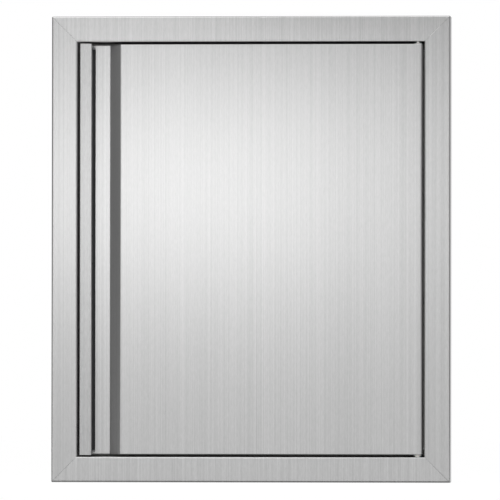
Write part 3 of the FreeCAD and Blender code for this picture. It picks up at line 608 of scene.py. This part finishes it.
class ACCESSDOOR_OT_foam(bpy.types.Operator):
    """Models the foam strips behind the recess slot and on the plain stops, and the mitres' sealant, whose
    tones are painted shade and light in the slot, the gaps and the seams
    """

    bl_idname = "accessdoor.foam"
    bl_label = "Foam and sealant"
    cells = {"roughness": 0.8, "grain": 900.0, "depth": 0.1 * MM}

    def execute(self, context):
        moulds = context.scene.access_door_moulds
        thick = 2.5 * MM
        self.recess_foam(moulds, thick)
        self.stop_foams(moulds, thick)
        self.sealant(moulds)
        return {"FINISHED"}

    def recess_foam(self, moulds, thick):
        """Behind the slot in the recess floor, stuck to the inside of the liner. Its dark colour is painted
        shade, so that the slot reads black.
        """
        foam = moulded("foam_painted_slot_shade", moulds.foam, **self.cells)
        low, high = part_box("door_liner")
        free_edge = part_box("door_pull_lip")[1].x
        left, right, ends, liner_sheet = 1.4 * MM, 6 * MM, 4 * MM, 1 * MM
        back = high.y - liner_sheet
        start = Vector((free_edge - left, back - thick, low.z + ends))
        end = Vector((free_edge + right, back, high.z - ends))
        self.strip("recess_foam", start, end, foam, "door")

    def stop_foams(self, moulds, thick):
        """On the faces of the stops, which the door comes close to. Their grey and white tones are painted
        shade in the upper and lower gaps and painted light in the hinge gap.
        """
        light = moulded("foam_painted_gap_shade", moulds.stop_foam_painted_shade, **self.cells)
        gap_brightening_foam = moulded("foam_painted_gap_light", moulds.hinge_foam_painted_light, **self.cells)
        edge = 1 * MM
        for side, material in (("upper", light), ("lower", light), ("hinge", gap_brightening_foam)):
            low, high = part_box(f"{side}_stop_angle")
            start = Vector((low.x + edge, low.y - thick, low.z + edge))
            end = Vector((high.x - edge, low.y, high.z - edge))
            self.strip(f"{side}_stop_foam", start, end, material, "frame")

    def sealant(self, moulds):
        """A dark run behind each mitre, from the corner plate inwards: painted shade that darkens the seam.

        The upper right mitre is left open, as its seam is bright in the photo.
        """
        # the sealant takes the dark rubber colour as painted shade for three of the mitre seams
        sealant = moulded(
            "sealant_painted_seam_shade", moulds.rubber, roughness=0.5, grain=700.0, depth=0.05 * MM
        )
        low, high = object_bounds()
        half, inward, face_sheet = Vector((11.3, 0.43, 0.9)) * MM, 19.9 * MM, 1.02 * MM
        for name, side, rise in (("upper_left", -1, 1), ("lower_left", -1, -1), ("lower_right", 1, -1)):
            corner = Vector((high.x if side > 0 else low.x, low.y, high.z if rise > 0 else low.z))
            middle = corner - Vector((side * inward, 0, rise * inward)) + Y * (face_sheet + half.y)
            turn = -math.radians(45) * side * rise
            start, end = middle - half, middle + half
            self.strip(f"{name}_sealant", start, end, sealant, "frame", 0.3 * MM, turn)

    @staticmethod
    def strip(name, start, end, material, body, rounding=0.5 * MM, turn=0.0):
        """A strip between two corners, turned about its middle, with its edges rounded."""
        deselect()
        bpy.ops.mesh.primitive_cube_add(size=1)
        strip = bpy.context.object
        strip.scale = end - start
        bpy.ops.object.transform_apply(location=True, rotation=True, scale=True)
        bpy.ops.object.mode_set(mode="EDIT")
        bpy.ops.mesh.select_all(action="SELECT")
        bpy.ops.mesh.bevel(offset=rounding, segments=2)
        bpy.ops.object.mode_set(mode="OBJECT")
        strip.location = (start + end) / 2
        strip.rotation_euler = (0, turn, 0)
        finish_piece(strip, name, material, body)


class ACCESSDOOR_OT_pivots(bpy.types.Operator):
    """Models the upper pivot bolt and finishes the pins, washers and bushes"""

    bl_idname = "accessdoor.pivots"
    bl_label = "Pivots"

    def execute(self, context):
        moulds = context.scene.access_door_moulds
        bright = turned_stainless(context.scene.access_door_steel)
        nylon = moulded(
            "nylon_moulded",
            moulds.nylon,
            roughness=0.42,
            grain=900.0,
            depth=0.02 * MM,
            translucency=0.15,
        )
        for node in ("upper_lock_washer", "lower_pivot_pin"):
            paint(node, bright)
        for node in ("lower_thrust_washer", "door_upper_bush", "door_lower_bush"):
            paint(node, nylon)

        low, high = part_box("upper_pivot_bolt")
        axis = (low + high) / 2
        across, head_height = (high.y - low.y) / MM, 3.5
        reach = (high.z - low.z) / MM - head_height
        head = self.hexagon(across, head_height)
        shank = lathe([(2.0, -reach), (2.5, 0.5 - reach), (2.5, -0.4), (2.7, 0.05)])
        bolt = join(head, shank)
        bolt.location = (axis.x, axis.y, high.z - head_height * MM)
        finish_piece(
            bolt, "upper_bolt_hexagon", bright, "frame", ["upper_pivot_bolt"]
        )
        return {"FINISHED"}

    @staticmethod
    def hexagon(across, height):
        """A bolt head: a hexagon trimmed by a shallow cone, with a washer face under it."""
        half_sector, chamfer = math.radians(30), math.radians(30)
        deselect()
        bpy.ops.mesh.primitive_cylinder_add(
            vertices=6,
            radius=across / 2 / math.cos(half_sector) * MM,
            depth=height * MM,
            location=(0, 0, height / 2 * MM),
            rotation=(0, 0, half_sector),
        )
        head = bpy.context.object
        bpy.ops.object.transform_apply(location=True, rotation=True, scale=True)
        washer_face, past = 0.25, 1.2
        flat = across / 2 - washer_face
        trim = lathe(
            [
                (flat, -0.01),
                (flat, washer_face),
                (flat + past, washer_face + 0.7),
                (flat + past, height - past * math.tan(chamfer)),
                (flat, height),
                (flat - 0.3, height + 0.01),
            ],
            segments=96,
        )
        boolean(head, trim, "INTERSECT")
        return head


class ACCESSDOOR_OT_rivets(bpy.types.Operator):
    """Models the blind rivets of the stop and the countersunk ones of the strike plate"""

    bl_idname = "accessdoor.rivets"
    bl_label = "Rivets"

    def execute(self, context):
        bright = bpy.data.materials["stainless_turned"]
        self.stop_rivets(bright)
        self.strike_rivets(bright)
        return {"FINISHED"}

    @staticmethod
    def stop_rivets(bright):
        """A domed head with the mandrel's broken end sunk in it, and a bulb on the far side."""
        low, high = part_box("stop_angle_rivets")
        head, bulb = 1.0, 1.6
        grip = (high.x - low.x) / MM - head - bulb
        dome = arc((0, -3.3), 4.3, 48, 76, 6)
        model = lathe(
            [(1.1, -grip - bulb)]
            + arc((1.3, -grip - 0.6), 1.0, -70, 30, 6)
            + [(1.6, -grip), (1.6, 0), (3.1, 0), (3.2, 0.1)]
            + [(r, h) for r, h in dome if h > 0.1 and r < 3.15]
            + [(0.95, 0.98), (0.88, 0.55), (0.8, 0.5), (0.72, 0.62), (0.4, 0.7)]
        )
        model.name = "stop_rivet"
        seat = high.x - head * MM
        middles = rows("stop_angle_rivets", count=4, spacing=125)
        rivets = place_copies(model, [Vector((seat, spot.y, spot.z)) for spot in middles], X)
        discard(model)
        finish_piece(
            rivets, "stop_rivets_domed", bright, "frame", ["stop_angle_rivets"]
        )

    @staticmethod
    def strike_rivets(bright):
        """Countersunk, set a hair below the plate, with a punched centre."""
        low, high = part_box("strike_rivets")
        depth = (high.y - low.y) / MM
        model = lathe(
            [
                (1.5, -depth),
                (1.7, -depth + 0.2),
                (1.7, -depth + 1.4),
                (1.2, -depth + 1.6),
                (1.2, -1.2),
                (2.05, -0.08),
                (2.0, -0.02),
                (1.1, 0.0),
                (0.9, -0.35),
                (0.3, -0.45),
            ]
        )
        model.name = "strike_rivet"
        middles = rows("strike_rivets", count=2, spacing=32)
        rivets = place_copies(model, [Vector((spot.x, high.y, spot.z)) for spot in middles], Y)
        discard(model)
        finish_piece(
            rivets, "strike_rivets_punched", bright, "door", ["strike_rivets"]
        )


class ACCESSDOOR_OT_catch(bpy.types.Operator):
    """Finishes the magnetic catch and its strike plate, and models the screws that hold it"""

    bl_idname = "accessdoor.catch"
    bl_label = "Magnetic catch"

    def execute(self, context):
        moulds = context.scene.access_door_moulds
        plastic = moulded(
            "acetal_moulded", moulds.plastic, roughness=0.45, grain=1300.0, depth=0.04 * MM
        )
        zinc = zinc_plating(context.scene.access_door_steel)
        deburred(
            "catch_housing",
            "catch_housing_moulded",
            plastic,
            "frame",
            moulds.corner_round,
            segments=3,
        )
        paint("catch_magnet", sintered_ferrite(moulds))
        sheared = 0.2 * MM
        deburred("catch_pole_plates", "pole_plates_sheared", zinc, "frame", sheared)
        deburred("strike_plate", "strike_plate_pressed", zinc, "door", sheared)
        self.screws(context.scene.access_door_fittings)
        return {"FINISHED"}

    def screws(self, sizes):
        """Pan-head screws with a cross recess."""
        low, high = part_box("catch_screws")
        head = 1.6
        length = (high.y - low.y) / MM - head
        model = lathe(
            [(0.3, -length), (1.5, -length + 1.8), (1.6, -length + 2.2), (1.6, 0), (2.9, 0), (3.0, 0.2)]
            + arc((1.6, 0.2), 1.4, 0, 70, 6)
            + [(0.3, head)]
        )
        model.name = "catch_screw"
        boolean(model, self.cross(sizes, head), "DIFFERENCE")
        seat = low.y + head * MM
        middles = rows("catch_screws", count=2, spacing=46)
        screws = place_copies(model, [Vector((spot.x, seat, spot.z)) for spot in middles], -Y)
        discard(model)
        finish_piece(
            screws,
            "catch_screws_recessed",
            bpy.data.materials["stainless_turned"],
            "frame",
            ["catch_screws"],
        )

    @staticmethod
    def cross(sizes, head):
        """The cutter of the cross recess: two wings that reach a little above the head."""
        top = (head + 0.05) * MM
        length, width, depth = sizes.recess_length, sizes.recess_width, sizes.recess_depth
        wings = []
        for size in ((length, width, depth), (width, length, depth)):
            deselect()
            bpy.ops.mesh.primitive_cube_add(size=1)
            wing = bpy.context.object
            wing.scale = size
            wing.location = (0, 0, top - depth / 2)
            bpy.ops.object.transform_apply(location=True, rotation=True, scale=True)
            wings.append(wing)
        return join(*wings)


class ACCESSDOOR_OT_bumpers(bpy.types.Operator):
    """Models the two push-in rubber bumpers"""

    bl_idname = "accessdoor.bumpers"
    bl_label = "Bumpers"

    def execute(self, context):
        moulds = context.scene.access_door_moulds
        rubber = moulded(
            "rubber_moulded", moulds.rubber, roughness=0.68, grain=1100.0, depth=0.05 * MM
        )
        low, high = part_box("stop_bumpers")
        pad, sheet, barb = 3.7, 1.2, 3.0
        model = lathe(
            [(1.0, -sheet - barb), (2.75, -sheet - 0.5), (2.8, -sheet - 0.2), (2.6, -sheet)]
            + [(2.0, -sheet), (2.0, 0), (4.3, 0), (4.5, 0.2), (4.5, pad - 1.2)]
            + arc((3.3, pad - 1.2), 1.2, 10, 90, 6)
            + [(2.2, pad), (1.9, pad - 0.25), (0.4, pad - 0.3)]
        )
        model.name = "bumper"
        seat = low.y + pad * MM
        middles = rows("stop_bumpers", count=2, spacing=340)
        bumpers = place_copies(model, [Vector((spot.x, seat, spot.z)) for spot in middles], -Y)
        discard(model)
        finish_piece(
            bumpers, "bumpers_dished", rubber, "frame", ["stop_bumpers"], smooth=40
        )
        return {"FINISHED"}


class ACCESSDOOR_OT_welds(bpy.types.Operator):
    """Adds the weld beads of the pivot blocks and the marks of the spot welds"""

    bl_idname = "accessdoor.welds"
    bl_label = "Welds"

    def execute(self, context):
        sizes = context.scene.access_door_fittings
        tint = welded_stainless(context.scene.access_door_steel)
        self.beads(sizes, tint)
        self.spot_welds(sizes, tint)
        return {"FINISHED"}

    @staticmethod
    def beads(sizes, tint):
        """A fillet along the rear edge of each block, where it sits on the sleeve."""
        ends = 3 * MM
        for block in ("upper_pivot_block", "lower_pivot_block"):
            low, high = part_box(block)
            base = low.z if block.startswith("upper") else high.z
            deselect()
            bpy.ops.mesh.primitive_uv_sphere_add(
                segments=20,
                ring_count=12,
                radius=sizes.bead_radius,
                location=(low.x + ends, high.y, base),
            )
            bead = bpy.context.object
            bpy.ops.object.transform_apply(location=True, rotation=True, scale=True)
            ripple = bead.modifiers.new("ripples", "ARRAY")
            ripple.use_relative_offset = False
            ripple.use_constant_offset = True
            ripple.constant_offset_displace = (sizes.bead_step, 0, 0)
            ripple.count = int((high.x - low.x - 2 * ends) / sizes.bead_step)
            bpy.ops.object.modifier_apply(modifier=ripple.name)
            finish_piece(bead, f"{block}_weld", tint, "frame")

    @staticmethod
    def spot_welds(sizes, tint):
        """Dished marks where the three plain stops are welded to the sleeve."""
        rim, proud, dish = sizes.mark_radius / MM, 0.03, 0.005
        profile = [(rim, 0), (rim - 0.05, proud), (rim - 0.5, proud), (rim - 0.7, dish), (0.5, dish)]
        model = lathe(profile, segments=32)
        model.name = "spot_weld"
        sheet, setback, ends = 1.2 * MM, 11 * MM, 40 * MM
        for node, direction in (
            ("hinge_stop_angle", -X),
            ("upper_stop_angle", -Z),
            ("lower_stop_angle", Z),
        ):
            low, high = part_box(node)
            middle = (low + high) / 2
            wall, run = (0, 2) if direction.x else (2, 0)
            outer = high[wall] if sum(direction) < 0 else low[wall]
            count = int((high[run] - low[run] - ends) / sizes.mark_step) + 1
            spots = []
            for i in range(count):
                spot = Vector((middle.x, low.y + setback, middle.z))
                spot[run] = middle[run] + (i - (count - 1) / 2) * sizes.mark_step
                spot[wall] = outer + direction[wall] * sheet
                spots.append(spot)
            marks = place_copies(model, spots, direction)
            finish_piece(marks, f"{node}_spot_welds", tint, "frame")
        discard(model)


class ACCESSDOOR_OT_stage(bpy.types.Operator):
    """Adds the floor, the soft lights and the camera"""

    bl_idname = "accessdoor.stage"
    bl_label = "Studio stage"

    def execute(self, context):
        stage = context.scene.access_door_stage
        low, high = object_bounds()
        middle = (low + high) / 2
        self.floor(context, stage, low)
        self.room(context, stage)
        self.lights(context, stage, middle)
        self.cards(context, low, high)
        self.camera(context, stage, Vector((0, low.y, middle.z)))
        context.scene.view_settings.view_transform = "Standard"
        return {"FINISHED"}

    def floor(self, context, stage, low):
        """White paper that hardly needs light, so that it stays white and still takes the shadow."""
        deselect()
        bpy.ops.mesh.primitive_circle_add(
            vertices=96, radius=60, fill_type="NGON", location=(0, 0, low.z)
        )
        floor = context.object
        floor.name = "floor"
        material, tree = new_material("white_paper")
        share = add(
            tree, "ShaderNodeMath", {"operation": "MULTIPLY"}, _0=self.seen(tree), _1=stage.floor_glow
        )
        paper = add(tree, "ShaderNodeBsdfDiffuse", Color=tuple(stage.floor_colour))
        glow = add(tree, "ShaderNodeEmission", Color=(1, 1, 1, 1), Strength=stage.glow_strength)
        both = add(
            tree, "ShaderNodeMixShader", _0=share.outputs[0], _1=paper.outputs[0], _2=glow.outputs[0]
        )
        add(tree, "ShaderNodeOutputMaterial", Surface=both.outputs[0])
        floor.data.materials.append(material)
        floor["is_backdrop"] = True

    def room(self, context, stage):
        """An even light from all round. What the eye or a reflection sees of it is plain white."""
        world = bpy.data.worlds.new("studio")
        context.scene.world = world
        world.use_nodes = True
        tree = world.node_tree
        tree.nodes.clear()
        strength = add(
            tree,
            "ShaderNodeMix",
            {"data_type": "FLOAT"},
            Factor=self.seen(tree),
            A=stage.room_strength,
            B=1.0,
        )
        light = add(tree, "ShaderNodeBackground", Color=(1, 1, 1, 1), Strength=strength.outputs[0])
        add(tree, "ShaderNodeOutputWorld", Surface=light.outputs[0])

    @staticmethod
    def lights(context, stage, target):
        """A small soft light that the door's face mirrors as a broad glow, and a large one above."""
        for name, place, width, height, radiance in (
            ("key_light", Vector((-0.215, -1.66, 0.384)), 0.42, 0.22, stage.key_strength),
            ("top_light", Vector((0, -1.0, 1.53)), 1.4, 1.0, stage.top_strength),
        ):
            bpy.ops.object.light_add(type="AREA", location=place)
            lamp = context.object
            lamp.name = name
            lamp.rotation_euler = (target - place).to_track_quat("-Z", "Y").to_euler()
            lamp.data.shape = "RECTANGLE"
            lamp.data.size = width
            lamp.data.size_y = height
            lamp.data.energy = radiance * math.pi * width * height
            lamp.visible_camera = False

    @staticmethod
    def cards(context, low, high):
        """Cards that only reflections see.

        They give the bright folds their dark outlines, and dim the upper right a little.
        """
        side = 0.5
        for name, place, facing, width, height, tone in (
            ("card_left", (low.x - side, 0, 0.3), X, 0.8, 0.8, 0.15),
            ("card_right", (high.x + side, -0.1, 0.3), -X, 0.8, 0.8, 0.25),
            ("card_below", (0, low.y - 2 * MM, low.z + 0.5 * MM), Z, 0.6, 0.012, 0.3),
            ("card_above", (0.34, -0.6, 0.747), Y, 0.8, 0.5, 0.75),
        ):
            bpy.ops.mesh.primitive_plane_add(size=1, location=place)
            card = context.object
            card.name = name
            card.rotation_euler = facing.to_track_quat("Z", "Y").to_euler()
            card.scale = (width, height, 1)
            paper, tree = new_material(f"{name}_paper")
            grey = add(tree, "ShaderNodeEmission", Color=(1, 1, 1, 1), Strength=tone)
            add(tree, "ShaderNodeOutputMaterial", Surface=grey.outputs[0])
            card.data.materials.append(paper)
            card.visible_camera = card.visible_diffuse = card.visible_shadow = False
            card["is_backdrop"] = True

    @staticmethod
    def camera(context, stage, target):
        """A long lens, a little to the hinge side and a little low, as in the photo."""
        aim = target - Vector((stage.camera_aside, 0, stage.camera_low))
        turn, rise, sensor = stage.camera_turn, stage.camera_rise, 36
        back = Vector(
            (math.sin(turn) * math.cos(rise), -math.cos(turn) * math.cos(rise), math.sin(rise))
        )
        bpy.ops.object.camera_add(location=aim + back * stage.camera_distance)
        camera = context.object
        camera.name = "camera"
        camera.rotation_euler = (-back).to_track_quat("-Z", "Y").to_euler()
        camera.rotation_euler.rotate_axis("Z", stage.camera_roll)
        camera.data.sensor_width = sensor
        camera.data.lens = sensor * stage.camera_distance / stage.frame_width
        camera.data.clip_start = 0.1
        camera.data.clip_end = 200
        context.scene.camera = camera

    @staticmethod
    def seen(tree):
        """One for the rays that see the background itself or its image in metal or glass."""
        path = add(tree, "ShaderNodeLightPath")
        direct = add(
            tree,
            "ShaderNodeMath",
            {"operation": "MAXIMUM"},
            _0=path.outputs["Is Camera Ray"],
            _1=path.outputs["Is Glossy Ray"],
        )
        return add(
            tree,
            "ShaderNodeMath",
            {"operation": "MAXIMUM"},
            _0=direct.outputs[0],
            _1=path.outputs["Is Transmission Ray"],
        ).outputs[0]


class ACCESSDOOR_PT_panel(bpy.types.Panel):
    bl_idname = "ACCESSDOOR_PT_panel"
    bl_label = "Access door"
    bl_space_type = "VIEW_3D"
    bl_region_type = "UI"
    bl_category = "Access door"

    def draw(self, context):
        for operator in OPERATORS:
            self.layout.operator(operator.bl_idname)


OPERATORS = [
    ACCESSDOOR_OT_sheets,
    ACCESSDOOR_OT_pivots,
    ACCESSDOOR_OT_rivets,
    ACCESSDOOR_OT_catch,
    ACCESSDOOR_OT_bumpers,
    ACCESSDOOR_OT_foam,
    ACCESSDOOR_OT_welds,
    ACCESSDOOR_OT_stage,
]
SETTINGS = {
    "access_door_steel": SteelSettings,
    "access_door_moulds": MouldedSettings,
    "access_door_fittings": FittingSettings,
    "access_door_stage": StageSettings,
}


def register():
    for cls in [*SETTINGS.values(), *OPERATORS, ACCESSDOOR_PT_panel]:
        bpy.utils.register_class(cls)
    for name, cls in SETTINGS.items():
        setattr(bpy.types.Scene, name, bpy.props.PointerProperty(type=cls))


def unregister():
    for name in SETTINGS:
        delattr(bpy.types.Scene, name)
    for cls in [ACCESSDOOR_PT_panel, *reversed(OPERATORS), *SETTINGS.values()]:
        bpy.utils.unregister_class(cls)


def main():
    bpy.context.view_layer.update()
    register()
    bpy.ops.accessdoor.sheets()
    bpy.ops.accessdoor.pivots()
    bpy.ops.accessdoor.rivets()
    bpy.ops.accessdoor.catch()
    bpy.ops.accessdoor.bumpers()
    bpy.ops.accessdoor.foam()
    bpy.ops.accessdoor.welds()
    bpy.ops.accessdoor.stage()


if __name__ == "__main__":
    main()
